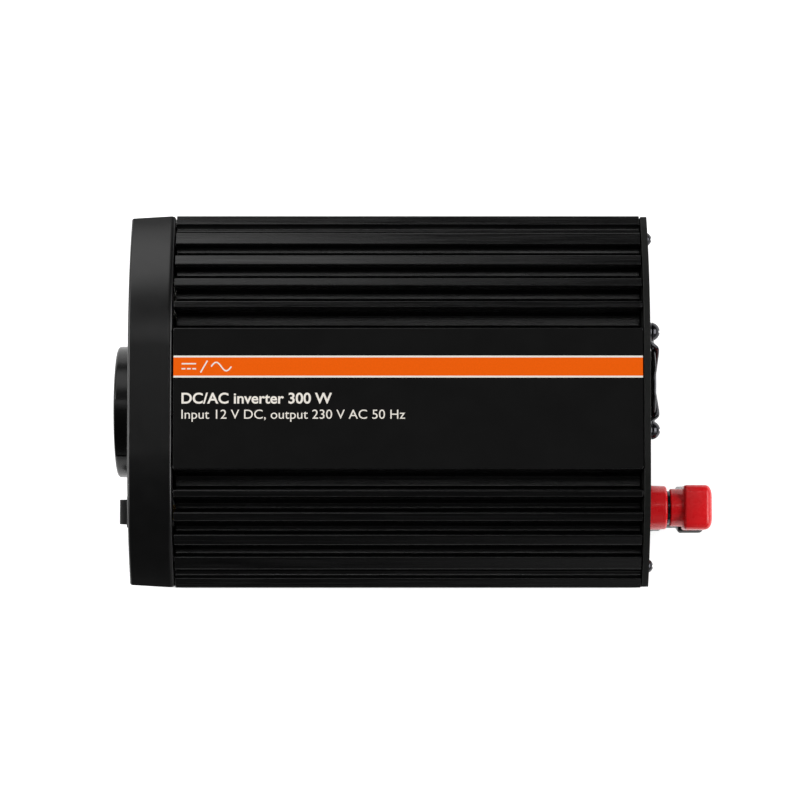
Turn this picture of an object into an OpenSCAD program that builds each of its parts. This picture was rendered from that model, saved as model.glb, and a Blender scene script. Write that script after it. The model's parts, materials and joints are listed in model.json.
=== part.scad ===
// Compact power inverter: 12 V DC in at two binding posts, mains out at a round socket.
// +X runs from the socket end to the terminal end, +Y across, +Z up from the feet.
// The origin is the centre of the footprint, at the soles of the feet.

/* [Case] */
// Width across the case
case_w = 120; // [118:0.5:124]
// Height from the soles of the feet to the label
case_h = 60; // [59.5:0.5:62]
// Length of the finned shell
shell_len = 149.35; // [145:0.05:170]
// Radius of the arch that the fin tips follow
arch_r = 80; // [78:1:84]
// Half width of the flat label plateau
plateau_half = 22.5; // [22:0.5:24]
// Height of the groove floors between the fins
roof_z = 46; // [45.5:0.1:46.5]
// Wall thickness of the shell and the bottom cover
wall = 2.1; // [1.9:0.1:2.3]
// Height of the joint between shell and bottom cover
split_z = 14; // [13:0.5:16]
// Thickness of the rubber feet below the case
foot_t = 1.5; // [1:0.1:1.5]

/* [Fins] */
// Distance of the first fin from the middle
fin_first = 30.1; // [29.5:0.1:30.5]
// Distance between fins
fin_pitch = 7.3; // [7:0.1:7.4]
// Width of the first fin at its root
fin_root = 4.0; // [3.6:0.1:4.2]
// How much wider each next fin is
fin_step = 0.2; // [0:0.05:0.3]
// Number of fins on each side
fin_count = 4; // [2:1:4]
// Width of the ledge at the case edge
ledge_w = 3.2; // [2.6:0.1:3.4]
// Draft of every fin side, in degrees
fin_draft = 4.3; // [2:0.1:5]

/* [End pieces] */
// Depth of the front cap
cap_depth = 14.15; // [13:0.05:18]
// Gap between cap and shell
seam_gap = 0.45; // [0.2:0.05:0.6]
// How far the socket rim stands out of the cap
rim_out = 5.2; // [4:0.1:7]
// Thickness of the gasket between shell and rear plate
gasket_t = 0.4; // [0.3:0.05:0.6]
// Thickness of the rear plate
plate_t = 2.05; // [2:0.05:3]
// How far the binding posts stand out of the rear plate
post_out = 21.2; // [20:0.1:24]

/* [Socket and switch] */
// Outer diameter of the socket rim
socket_d = 42.8; // [42:0.1:44]
// Diameter of the plug recess
recess_d = 39.2; // [38.8:0.1:39.4]
// Depth of the plug recess
recess_depth = 17.5; // [17:0.1:18]
// Distance between the two pin holes
pin_pitch = 19; // [18.8:0.1:19.2]
// Radius of a pin hole
pin_r = 2.65; // [2.6:0.05:2.8]
// Socket centre across the case
socket_y = -2.6; // [-3:0.1:0]
// Switch centre across the case
switch_y = -35.4; // [-36:0.1:-33]
// Angle that the rocker tips between off and on
rocker_throw = 20; // [12:1:20]

/* [Fan and terminals] */
// Side of the square fan
fan_w = 40; // [38:0.5:40]
// Depth of the fan
fan_t = 10; // [9:0.5:12]
// Fan centre across the case
fan_y = 6.9; // [6:0.1:8]
// Distance between the fan screws
fan_holes = 32; // [31:0.5:32]
// Terminal centre across the case
post_y = -34.1; // [-35:0.1:-32]
// Distance between the red and black terminals
post_pitch = 23; // [22:0.5:24]
// Height of the red terminal
post_top_z = 38; // [37:0.1:38]
// Radius of a terminal stud
stud_r = 3; // [2.5:0.1:3]

/* [Hidden] */
$fn = 64;
e = 0.01;
big = 300;

// stations along the length, from the socket rim to the tips of the terminal knobs
overall = rim_out + cap_depth + seam_gap + shell_len + gasket_t + plate_t + post_out;
x_rim = -overall / 2;
x_face = x_rim + rim_out;
x_seam = x_face + cap_depth;
x_front = x_seam + seam_gap;
x_end = x_front + shell_len;
x_rear = x_end + gasket_t;
x_plate = x_rear + plate_t;
x_tip = x_plate + post_out;

// case section
half = case_w / 2;
label_t = 0.4;
plateau_z = case_h - label_t;
arch_y = plateau_half - arch_r * sin(6.5);
arch_z = plateau_z - arch_r * cos(6.5);
draft = tan(fin_draft);
bottom_z = foot_t;
foot_round = 2.5;
end_r = 72;
end_flat = 16.88;
joint_gap = 0.2;
floor_z = bottom_z + wall;
inner_half = half - wall;
inner_roof = roof_z - wall;
hollow_half = plateau_half - wall;
hollow_z = plateau_z - wall - 0.3;

// corner screw channels
corner_y = 53;
corner_top = 39.8;
corner_low = 8.2;
channel_r = 3.4;
screw_r = 1.45;
tap_r = 1.5;
corners = [for (s = [-1, 1], z = [corner_low, corner_top]) [s * corner_y, z]];

// fan, pad and posts
fan_z = (floor_z + inner_roof) / 2;
fan_in = x_rear - fan_t;
duct_r = 19;
pad_t = 0.5;
pad_half = 19.5;
x_pad = x_plate + pad_t;
fan_spots = [for (s = [-1, 1], t = [-1, 1])
  [fan_y + s * fan_holes / 2, fan_z + t * fan_holes / 2]];
posts = [post_top_z, post_top_z - post_pitch];
base_len = 6.5;
washer_gap = 0.1;
washer_t = 0.9;
x_base = x_plate + base_len;
x_washer = x_base + washer_gap;
x_knob = x_washer + washer_t + washer_gap;
neck_len = 4.15;
insert_end = x_tip - 2;
stud_in = x_rear - 10.5;
stud_end = insert_end - 1;

// socket and switch
socket_z = 30;
socket_r = socket_d / 2;
recess_r = recess_d / 2;
body_r = socket_r - 0.6;
x_recess = x_rim + recess_depth;
recess_floor = 5;
sleeve_r = 3.6;
sleeve_len = 16;
clip_slot = 6.2;
relief_y = 0.2;
cap_wall = 2.5;
x_inside = x_face + cap_wall;
bezel_t = 1.8;
bezel_w = 10.2;
bezel_h = 15;
x_bezel = x_face - bezel_t;
rocker_depth = 1.9;
x_pivot = x_bezel + rocker_depth;
switch_z = 30;

// usb port and lamps
port_y = 34;
port_z = 30;
lamp_z = 42;
lamp_spread = 4.5;
lamp_r = 1.5;

// circuit board
pcb_x0 = -68;
pcb_x1 = 56;
pcb_half = 52.5;
pcb_z = 12.6;
pcb_t = 1.6;
board_top = pcb_z + pcb_t;
pcb_posts = [for (x = [pcb_x0 + 6, pcb_x1 - 6], s = [-1, 1]) [x, s * 38]];
mount_x = 50;
mount_y = 30;
mount_r = 1.65;

// ---------- helpers ----------

// extrudes a (y, z) outline along +X from x
module along_x(x, len) {
  translate([x, 0, 0]) rotate([90, 0, 90]) linear_extrude(len) children();
}

// round bar along +X
module rod_x(x, y, z, len, r) {
  translate([x, y, z]) rotate([0, 90, 0]) cylinder(h = len, r = r);
}

// ring along +X
module ring_x(x, y, z, len, r_out, r_in) {
  difference() {
    rod_x(x, y, z, len, r_out);
    rod_x(x - 1, y, z, len + 2, r_in);
  }
}

// solid of revolution about +X, from (r, x) points
module turned_x(x, y, z, points) {
  translate([x, y, z]) rotate([90, 0, 90]) rotate_extrude() polygon(points);
}

module block(x0, x1, y0, y1, z0, z1) {
  translate([x0, y0, z0]) cube([x1 - x0, y1 - y0, z1 - z0]);
}

module both_sides() {
  children();
  mirror([0, 1, 0]) children();
}

// flat plate with rounded corners, lying in the (y, z) plane
module rounded_x(x, len, y, z, w, h, r) {
  along_x(x, len) translate([y, z]) {
    square([w - 2 * r, h], center = true);
    square([w, h - 2 * r], center = true);
    for (s = [-1, 1], t = [-1, 1]) translate([s * (w / 2 - r), t * (h / 2 - r)]) circle(r);
  }
}

// hexagon nut about +X, flats up and down
module nut_x(x, y, z, len, flats, bore) {
  difference() {
    translate([x, y, z]) rotate([0, 90, 0]) cylinder(h = len, r = flats / 2 / cos(30), $fn = 6);
    rod_x(x - 1, y, z, len + 2, bore);
  }
}

// pan head screw pointing along dir (+1 or -1), head outside at x
module pan_screw_x(x, y, z, dir, len, head_r, head_h) {
  translate([x, y, z]) rotate([0, dir * 90, 0]) {
    translate([0, 0, -e]) cylinder(h = len, r = screw_r);
    difference() {
      translate([0, 0, -head_h]) intersection() {
        cylinder(h = head_h, r = head_r);
        translate([0, 0, head_r]) sphere(r = head_r * 1.02);
      }
      for (a = [0, 90]) rotate([0, 0, a])
        translate([0, 0, -head_h + 0.45]) cube([head_r * 1.1, 0.75, 1.2], center = true);
    }
  }
}

// smooth route through hand-picked points, then a tube swept along it
function unit(v) = v / norm(v);
function blend4(a, b, c, d, t) = 0.5 * (2 * b + (c - a) * t + (2 * a - 5 * b + 4 * c - d) * t * t
  + (3 * b - a - 3 * c + d) * t * t * t);
function route(p, n) = let(m = len(p) - 1) [
  for (i = [0:m - 1], j = [0:n - 1])
    blend4(p[max(i - 1, 0)], p[i], p[i + 1], p[min(i + 2, m)], j / n),
  p[m]];
function tangent(p, i) = unit(p[min(i + 1, len(p) - 1)] - p[max(i - 1, 0)]);
function side0(t) = unit(cross(t, abs(t.z) < 0.9 ? [0, 0, 1] : [1, 0, 0]));
function sides(p, i, n) = let(t = tangent(p, i), s = unit(n - (n * t) * t))
  i == len(p) - 1 ? [s] : concat([s], sides(p, i + 1, s));

module tube(points, r, steps = 4, k = 10) {
  p = route(points, steps);
  n = sides(p, 0, side0(tangent(p, 0)));
  m = len(p);
  rings = [for (i = [0:m - 1], j = [0:k - 1]) let(a = 360 * j / k, t = tangent(p, i))
    p[i] + r * (cos(a) * n[i] + sin(a) * cross(t, n[i]))];
  skin = [for (i = [0:m - 2], j = [0:k - 1]) let(q = (j + 1) % k)
    [i * k + j, (i + 1) * k + j, (i + 1) * k + q, i * k + q]];
  polyhedron(rings, concat(skin, [[for (j = [0:k - 1]) j]],
    [[for (j = [k - 1:-1:0]) (m - 1) * k + j]]), convexity = 8);
}

// ---------- case outlines ----------

// arched outline of the case, from base z up
module arch_outline(base) {
  intersection() {
    translate([-half, base]) square([case_w, plateau_z - base]);
    union() {
      translate([-plateau_half, 0]) square([2 * plateau_half, plateau_z]);
      for (s = [0, 1]) mirror([s, 0]) intersection() {
        square([half, case_h]);
        translate([arch_y, arch_z]) circle(arch_r, $fn = 256);
      }
    }
  }
}

// groove between two drafted walls a and b apart at the groove floor
module groove(a, b) {
  up = case_h - roof_z + 1;
  polygon([[a, roof_z], [b, roof_z], [b + up * draft, roof_z + up], [a - up * draft, roof_z + up]]);
}

function fin_y(i) = fin_first + i * fin_pitch;
function fin_half(i) = (fin_root + i * fin_step) / 2;
plateau_root = plateau_half + (plateau_z - roof_z) * draft;
groove_lefts = [plateau_root, for (i = [0:fin_count - 1]) fin_y(i) + fin_half(i)];
groove_round = 1.2;
groove_rights = [for (i = [0:fin_count - 1]) fin_y(i) - fin_half(i), half - ledge_w];

module finned_outline() {
  offset(r = 0.4, $fn = 20) offset(delta = -0.4)
    offset(r = -groove_round, $fn = 24) offset(delta = groove_round)
      difference() {
        arch_outline(split_z);
        for (s = [0, 1]) mirror([s, 0])
          for (i = [0:fin_count]) groove(groove_lefts[i], groove_rights[i]);
      }
}

module hollow_outline() {
  translate([-inner_half, -10]) square([2 * inner_half, inner_roof + 10]);
  widen = (hollow_z - inner_roof) * draft;
  polygon([[-hollow_half - widen, inner_roof - e], [hollow_half + widen, inner_roof - e],
    [hollow_half, hollow_z], [-hollow_half, hollow_z]]);
}

// screw channel: a round boss joined to the wall beside it
module channel(z, web) {
  translate([corner_y, z]) circle(channel_r);
  translate([corner_y, z - channel_r]) square([inner_half - corner_y + 0.5, 2 * channel_r]);
  translate([corner_y - channel_r, web > 0 ? z : z - channel_r - 2])
    square([2 * channel_r, channel_r + 2]);
}

// ---------- case ----------

module top_shell() color([0.09, 0.09, 0.1]) difference() {
  union() {
    difference() {
      along_x(x_front, shell_len) finned_outline();
      along_x(x_front - 1, shell_len + 2) hollow_outline();
    }
    both_sides() along_x(x_front, shell_len) intersection() {
      channel(corner_top, 1);
      translate([0, split_z]) square([half - 1, roof_z - split_z - 1]);
    }
  }
  for (s = [-1, 1]) rod_x(x_front - 1, s * corner_y, corner_top, shell_len + 2, tap_r);
}

module bottom_cover() color([0.09, 0.09, 0.1]) difference() {
  tongue_top = split_z + 3;
  tongue = 1.2;
  union() {
    difference() {
      along_x(x_front, shell_len) {
        intersection() {
          rounded_foot();
          translate([-half, 0]) square([case_w, split_z - joint_gap]);
        }
      }
      block(-big, big, -inner_half, inner_half, floor_z, case_h);
    }
    both_sides() {
      along_x(x_front, shell_len) intersection() {
        channel(corner_low, -1);
        translate([0, bottom_z + 0.5]) square([half - 1, split_z]);
      }
      block(x_front, x_end, inner_half - tongue - 0.1, inner_half - 0.1, floor_z - e, tongue_top);
      block(x_front, x_end, inner_half - 0.2, inner_half + e, floor_z - e, split_z - 0.5);
    }
    for (p = pcb_posts) translate([p.x, p.y, floor_z - e]) cylinder(h = pcb_z - floor_z, r = 3);
    for (s = [-1, 1], t = [-1, 1]) translate([s * mount_x, t * mount_y, floor_z - e])
      cylinder(h = 5.4, r = 3.8);
  }
  for (s = [-1, 1]) rod_x(x_front - 1, s * corner_y, corner_low, shell_len + 2, tap_r);
  for (p = pcb_posts) translate([p.x, p.y, floor_z]) cylinder(h = big, r = 1.25);
  for (s = [-1, 1], t = [-1, 1]) translate([s * mount_x, t * mount_y, bottom_z - 1])
    cylinder(h = 7.5, r = mount_r);
  for (s = [-1, 1], t = [-1, 1]) translate([s * foot_x, t * foot_y, bottom_z - 1])
    cylinder(h = 8, r = foot_plug_r + 0.02);
}

foot_x = 64;
foot_y = 46;
foot_r = 5.5;
foot_plug_r = 1.8;

module rubber_feet() color([0.05, 0.05, 0.05])
  for (s = [-1, 1], t = [-1, 1]) translate([s * foot_x, t * foot_y, 0]) {
    cylinder(h = 0.5, r1 = foot_r - 0.5, r2 = foot_r);
    translate([0, 0, 0.5]) cylinder(h = foot_t - 0.5, r = foot_r);
    cylinder(h = floor_z + 0.4, r = foot_plug_r);
    translate([0, 0, floor_z + 0.05]) cylinder(h = 1.2, r1 = foot_plug_r + 0.6, r2 = 1.2);
  }

module label_plate() color([0.08, 0.08, 0.08])
  block(x_front + 0.1, x_end - 0.05, 0.3 - plateau_half, plateau_half - 0.3, plateau_z, case_h);

// outline of an end piece: flat top that runs smoothly into the arch, set in all round
module end_outline(inset) {
  offset(delta = -inset) intersection() {
    hull() for (s = [-1, 1]) translate([s * end_flat, case_h - end_r]) circle(end_r, $fn = 256);
    rounded_foot();
  }
}

// tall box with its two bottom corners rounded
module rounded_foot() {
  hull() {
    for (s = [-1, 1]) translate([s * (half - foot_round), bottom_z + foot_round])
      circle(foot_round);
    translate([-half, case_h]) square([case_w, 1]);
  }
}

module front_panel() color([0.07, 0.07, 0.07]) difference() {
  shrink = (half - 0.8) / half;
  mid_z = (case_h + bottom_z) / 2;
  union() {
    difference() {
      // outer skin, drafted so that it narrows towards its face
      translate([x_seam, 0, mid_z]) rotate([90, 0, -90])
        linear_extrude(cap_depth, scale = shrink) mirror([1, 0]) translate([0, -mid_z])
          end_outline(0.05);
      along_x(x_inside, cap_depth) end_outline(cap_wall + 0.6);
    }
    for (c = corners) rod_x(x_inside - 0.5, c.x, c.y, x_seam - x_inside, 3.6);
    // webs that close the ends of the grooves between the fins
    web_t = 1.5;
    both_sides() along_x(x_seam - 0.6 - web_t, web_t) intersection() {
      translate([end_flat, case_h - end_r]) circle(end_r - 1.5, $fn = 128);
      translate([plateau_half - 1, roof_z - 1.5]) square([half - plateau_half - 1.5, end_r]);
    }
  }
  rod_x(x_face - 1, socket_y, socket_z, cap_wall + 2, body_r + 0.08);
  block(x_face - 1, x_inside + 1, switch_y - bezel_w / 2 + 0.4, switch_y + bezel_w / 2 - 0.4,
    switch_z - 6.95, switch_z + 6.95);
  block(x_face - 1, x_inside + 1, port_y - 6.8, port_y + 6.8, port_z - 3.05, port_z + 3.05);
  for (s = [-1, 1])
    rod_x(x_face - 1, port_y + s * lamp_spread, lamp_z, cap_wall + 2, lamp_r + 0.05);
  for (c = corners) {
    rod_x(x_face - 1, c.x, c.y, big, tap_r + 0.1);
    rod_x(x_face - 1, c.x, c.y, 3.6, 3.1);
  }
  vent_slots(port_y, 12.5, 3);
  vent_slots(switch_y - 1, 12.5, 2);
  vent_slots(switch_y - 1, 42.5, 2);
}

// row of round-ended air slots one above another, the lowest at height z
module vent_slots(y, z, count) {
  slot_w = 17;
  slot_h = 2;
  for (i = [0:count - 1])
    along_x(x_face - 1, cap_wall + 2) translate([y, z + i * 4.2]) {
      square([slot_w - slot_h, slot_h], center = true);
      for (s = [-1, 1]) translate([s * (slot_w - slot_h) / 2, 0]) circle(slot_h / 2);
    }
}

module rear_panel() color([0.13, 0.14, 0.13]) difference() {
  union() {
    along_x(x_rear, plate_t) end_outline(0.3);
    hull() for (s = [-1, 1], t = [-1, 1])
      translate([x_plate - e, fan_y + s * (pad_half - 1.5), fan_z + t * (pad_half - 1.5)])
        rotate([0, 90, 0]) cylinder(h = pad_t + e, r1 = 1.5, r2 = 1.1, $fn = 24);
  }
  rod_x(x_rear - 1, fan_y, fan_z, 5, duct_r - 0.4);
  for (p = fan_spots) rod_x(x_rear - 1, p.x, p.y, 5, tap_r + 0.1);
  for (c = corners) rod_x(x_rear - 1, c.x, c.y, 5, tap_r + 0.1);
  for (z = posts) rod_x(x_rear - 1, post_y, z, 5, 4.6);
}

// thin black gasket, set in from the case all round
module rear_gasket() color([0.03, 0.03, 0.03]) difference() {
  set_in = 0.8;
  along_x(x_end + 0.02, gasket_t - 0.04) difference() {
    union() {
      translate([set_in - half, bottom_z + set_in])
        square([2 * (half - set_in), roof_z - bottom_z - 2 * set_in]);
      translate([set_in - plateau_half, roof_z - 2])
        square([2 * (plateau_half - set_in), plateau_z - roof_z - set_in + 2]);
    }
    // the opening leaves a pad round each corner screw
    for (box = [[corner_y - channel_r, floor_z, inner_roof],
        [inner_half, corner_low + channel_r, corner_top - channel_r],
        [hollow_half, inner_roof - 1, hollow_z]])
      translate([-box.x, box.y]) square([2 * box.x, box.z - box.y]);
  }
  for (c = corners) rod_x(x_end - 1, c.x, c.y, 5, tap_r + 0.1);
}

module front_panel_screws() color([0.15, 0.15, 0.16])
  for (c = corners) pan_screw_x(x_face + 2.6, c.x, c.y, 1, 22, 2.6, 1.9);

module rear_panel_screws() color([0.15, 0.15, 0.16])
  for (c = corners) pan_screw_x(x_plate, c.x, c.y, -1, 10, 2.3, 2);

// ---------- socket ----------

module pin_spots() {
  for (s = [-1, 1]) translate([0, socket_y + s * pin_pitch / 2, socket_z]) children();
}

module socket_housing() color([0.06, 0.06, 0.06]) difference() {
  union() {
    rod_x(x_rim + 1, socket_y, socket_z, rim_out - 1, socket_r);
    turned_x(x_rim, socket_y, socket_z, [[0, 1.01], [0, 0], [socket_r - 1, 0],
      for (a = [15:15:90]) [socket_r - 1 + sin(a), 1 - cos(a)], [socket_r, 1.01]]);
    rod_x(x_face - e, socket_y, socket_z, x_recess + recess_floor - x_face, body_r);
    pin_spots() rotate([0, 90, 0]) translate([0, 0, x_recess])
      cylinder(h = recess_floor + 3, r = sleeve_r + 1.2);
  }
  difference() {
    rod_x(x_rim - 1, socket_y, socket_z, recess_depth + 1, recess_r);
    // key ribs that guide the plug at its two sides
    for (s = [-1, 1]) block(x_rim + 1.5, x_recess + 1, socket_y + s * recess_r - 1.2,
      socket_y + s * recess_r + 1.2, socket_z - 2.4, socket_z + 2.4);
  }
  // slots for the earth clips, in the wall of the recess at its top and its bottom
  for (s = [-1, 1]) translate([0, socket_y, socket_z + s * recess_r])
    translate([x_rim - 1, -clip_slot / 2, s > 0 ? -1 : -0.7])
      cube([recess_depth + 4, clip_slot, 1.7]);
  // shallow relief in the top of the rim, from the middle towards the switch
  difference() {
    block(x_rim - 1, x_face - 0.4, relief_y - 18, relief_y, socket_z + 5, case_h);
    rod_x(x_rim - 2, socket_y, socket_z, rim_out + 3, socket_r - 0.25);
  }
  pin_spots() rotate([0, 90, 0]) translate([0, 0, x_recess - 1]) cylinder(h = big, r = pin_r);
  pin_spots() rotate([0, 90, 0]) translate([0, 0, x_recess + recess_floor])
    cylinder(h = big, r = sleeve_r + 0.03);
}

module socket_contacts() color([0.75, 0.6, 0.25]) pin_spots() rotate([0, 90, 0])
  translate([0, 0, x_recess + recess_floor]) difference() {
    union() {
      cylinder(h = sleeve_len, r = sleeve_r);
      translate([-1.5, -0.6, sleeve_len - 1]) cube([3, 1.2, 6]);
    }
    translate([0, 0, -1]) cylinder(h = sleeve_len - 0.5, r = pin_r);
  }

// spring strips that touch the plug's earth pads
module earth_clips() color([0.78, 0.76, 0.7]) for (s = [-1, 1]) {
  depth = recess_r - 0.7;
  translate([0, socket_y, socket_z]) rotate([90, 0, 0]) translate([0, 0, -2])
    linear_extrude(4) scale([1, s]) polygon([
      [x_rim + 1.6, depth + 0.7], [x_rim + 4, depth - 0.2], [x_rim + 7.5, depth - 1.7],
      [x_rim + 9, depth - 1.7], [x_rim + 13, depth - 0.2], [x_recess + 2.9, depth],
      [x_recess + 2.9, depth + 0.6], [x_rim + 13, depth + 0.4], [x_rim + 9, depth - 1.1],
      [x_rim + 7.5, depth - 1.1], [x_rim + 4, depth + 0.4], [x_rim + 1.6, depth + 1.3]]);
}

module socket_clamp_ring() color([0.3, 0.3, 0.3]) difference() {
  ring_x(x_inside + 0.05, socket_y, socket_z, 3, body_r + 2.6, body_r + 0.03);
  for (a = [0:60:300]) translate([0, socket_y, socket_z]) rotate([a, 0, 0])
    block(x_inside + 1.6, x_inside + 5, body_r + 1.2, body_r + 4, -2, 2);
}

// ---------- switch ----------

module switch_frame() color([0.05, 0.05, 0.05]) difference() {
  union() {
    rounded_x(x_bezel, bezel_t, switch_y, switch_z, bezel_w, bezel_h, 1);
    block(x_face - e, x_face + 12.5, switch_y - bezel_w / 2 + 0.5, switch_y + bezel_w / 2 - 0.5,
      switch_z - 6.85, switch_z + 6.85);
  }
  block(x_bezel - 1, x_bezel + 7.5, switch_y - 4.15, switch_y + 4.15, switch_z - 6.7,
    switch_z + 6.7 - 0.6);
  block(x_bezel - 1, x_bezel + bezel_t, switch_y - 4.15, switch_y + 4.15, switch_z - 6.7,
    switch_z + 6.7);
  translate([x_pivot, switch_y - 4.5, switch_z]) rotate([-90, 0, 0]) cylinder(h = 9, r = 0.95);
}

// rocker drawn level, then tipped to its off position
module switch_rocker() color([0.04, 0.04, 0.04])
  translate([x_pivot, switch_y, switch_z]) rotate([0, -rocker_throw / 2, 0]) {
    rotate([90, 0, 0]) translate([0, 0, -4]) linear_extrude(8) polygon([
      [-2.9, 0], [-3.2, 2], [-3.55, 5.5], [-3.3, 5.8], [-2.2, 5.8], [1.2, 4.6], [3.2, 1.5],
      [3.2, -1.5], [1.2, -4.6], [-2.2, -5.8], [-3.3, -5.8], [-3.55, -5.5], [-3.2, -2]]);
    translate([0, -4.45, 0]) rotate([-90, 0, 0]) cylinder(h = 8.9, r = 0.9);
  }

module switch_terminals() color([0.8, 0.7, 0.35]) for (t = [-1, 1])
  difference() {
    block(x_face + 12.5, x_face + 19.5, switch_y - 2.4, switch_y + 2.4, switch_z + t * 4 - 0.4,
      switch_z + t * 4 + 0.4);
    translate([x_face + 17.3, switch_y, 0]) cylinder(h = big, r = 0.8);
  }

// ---------- usb port and lamps ----------

module usb_shell() color([0.75, 0.76, 0.78]) difference() {
  block(x_face + 0.3, x_face + 14.3, port_y - 6.55, port_y + 6.55, port_z - 2.85, port_z + 2.85);
  block(x_face - 1, x_face + 13.9, port_y - 6.25, port_y + 6.25, port_z - 2.55, port_z + 2.55);
}

module usb_tongue() color([0.92, 0.92, 0.9]) {
  block(x_face + 1.8, x_face + 12.4, port_y - 5.5, port_y + 5.5, port_z + 0.15, port_z + 2);
  block(x_face + 12.3, x_face + 13.85, port_y - 6.2, port_y + 6.2, port_z - 2.5, port_z + 2.5);
}

module usb_board() color([0.05, 0.3, 0.15]) difference() {
  block(x_face + 5, x_face + 22, port_y - 8.5, port_y + 8.5, port_z - 4.1, port_z - 2.9);
  for (s = [-1, 1]) translate([x_face + 19, port_y + s * 6, 0]) cylinder(h = big, r = 1);
}

module lamp(y) {
  turned_x(x_face, y, lamp_z, [[0, 0.05], [lamp_r - 0.8, 0.05], [lamp_r - 0.3, 0.15],
    [lamp_r, 0.5], [lamp_r, 3], [0, 3]]);
  rod_x(x_inside + 0.1, y, lamp_z, 1, lamp_r + 0.4);
  for (s = [-1, 1]) rod_x(x_inside + 1, y + s * 0.7, lamp_z, 5, 0.25);
}

module power_led() color([0.2, 0.8, 0.3]) lamp(port_y - lamp_spread);
module fault_led() color([0.85, 0.15, 0.1]) lamp(port_y + lamp_spread);

// ---------- fan ----------

module fan_frame() color([0.08, 0.08, 0.08]) {
  difference() {
    rounded_x(fan_in, fan_t - 0.05, fan_y, fan_z, fan_w, fan_w, 3);
    rod_x(fan_in - 1, fan_y, fan_z, fan_t + 2, duct_r);
    for (p = fan_spots) rod_x(fan_in - 1, p.x, p.y, fan_t + 2, tap_r + 0.1);
    // the rim between the two flanges is cut back at the four sides
    for (a = [0:90:270]) translate([0, fan_y, fan_z]) rotate([a, 0, 0])
      block(fan_in + 2, fan_in + fan_t - 2.2, fan_w / 2 - 0.6, fan_w, -9, 9);
  }
  // motor seat on four struts
  ring_x(fan_in, fan_y, fan_z, 1.6, 10.5, 1.6);
  for (a = [45:90:315]) translate([0, fan_y, fan_z]) rotate([a, 0, 0])
    block(fan_in, fan_in + 1.6, 10, duct_r + 0.4, -1.1, 1.1);
}

module fan_bearing() color([0.75, 0.6, 0.3])
  ring_x(fan_in + 0.2, fan_y, fan_z, 6.2, 1.58, 0.8);

module fan_stator() color([0.7, 0.4, 0.2]) {
  ring_x(fan_in + 1.65, fan_y, fan_z, 4.4, 3.4, 1.62);
  for (a = [0:90:270]) translate([0, fan_y, fan_z]) rotate([a, 0, 0])
    block(fan_in + 2, fan_in + 5.6, 3, 8, -1.6, 1.6);
}

module fan_rotor() color([0.1, 0.1, 0.11]) {
  hub_in = fan_in + 2.2;
  hub_out = x_rear - 0.9;
  difference() {
    union() {
      rod_x(hub_in, fan_y, fan_z, hub_out - hub_in - 0.6, 10.2);
      translate([hub_out - 0.6, fan_y, fan_z]) rotate([0, 90, 0])
        cylinder(h = 0.6, r1 = 10.2, r2 = 9.6);
    }
    rod_x(hub_in - 1, fan_y, fan_z, 5.8, 8.9);
  }
  rod_x(fan_in + 0.3, fan_y, fan_z, hub_out - fan_in - 1, 0.76);
  intersection() {
    ring_x(hub_in, fan_y, fan_z, hub_out - hub_in, duct_r - 0.6, 9.9);
    for (i = [0:6]) translate([0, fan_y, fan_z]) rotate([i * 360 / 7, 0, 0])
      translate([(hub_in + hub_out) / 2, 14, 0]) rotate([0, -38, 0])
        cube([13, 11, 1.1], center = true);
  }
}

// each ring of the guard: [radius, distance of its wire's centre from the rear plate's pad]
guard_rings = [[6, 2.0], [10.4, 2.15], [14.8, 2.3]];
wire_r = 0.7;

// four wires run from loops round the fan screws, over the rings, towards the middle
module fan_guard() color([0.25, 0.25, 0.27]) {
  base_x = x_pad + wire_r + 0.08;
  reach = fan_holes / sqrt(2);
  for (g = guard_rings) translate([x_pad + g[1], fan_y, fan_z]) rotate([0, 90, 0])
    rotate_extrude() translate([g[0], 0]) circle(wire_r, $fn = 24);
  for (a = [45:90:315]) translate([0, fan_y, fan_z]) rotate([a, 0, 0]) {
    tube([[base_x, reach - 2.2, 0], [base_x + 0.15, reach - 4.2, 0], [base_x + 1.6, reach - 5.8, 0],
      [base_x + 2.85, reach - 7.6, 0], [base_x + 2.75, 10.4, 0], [base_x + 2.5, 4.8, 0]],
      wire_r, 3, 10);
    translate([base_x, reach, 0]) rotate([0, 90, 0]) rotate_extrude()
      translate([2.45, 0]) circle(wire_r, $fn = 24);
  }
}

module fan_screws() color([0.12, 0.12, 0.13])
  for (p = fan_spots)
    pan_screw_x(x_pad + 2 * wire_r + 0.12, p.x, p.y, -1, 17.2, 3, 2.5);

module fan_nuts() color([0.7, 0.7, 0.72])
  for (p = fan_spots) nut_x(fan_in - 2.5, p.x, p.y, 2.4, 5.5, tap_r);

// ---------- terminals ----------

module post_base(z) {
  difference() {
    union() {
      turned_x(x_plate + 0.02, post_y, z, [[0, 0], [7.2, 0], [7.05, base_len - 0.9],
        for (a = [15:15:90]) [6.15 + 0.9 * cos(a), base_len - 0.9 + 0.88 * sin(a)],
        [0, base_len - 0.02]]);
      rod_x(x_rear + 0.1, post_y, z, plate_t, 4.5);
    }
    rod_x(x_rear - 1, post_y, z, big, stud_r + 0.03);
  }
}

module post_washer(z) ring_x(x_washer, post_y, z, washer_t, 5.4, stud_r + 0.08);

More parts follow.
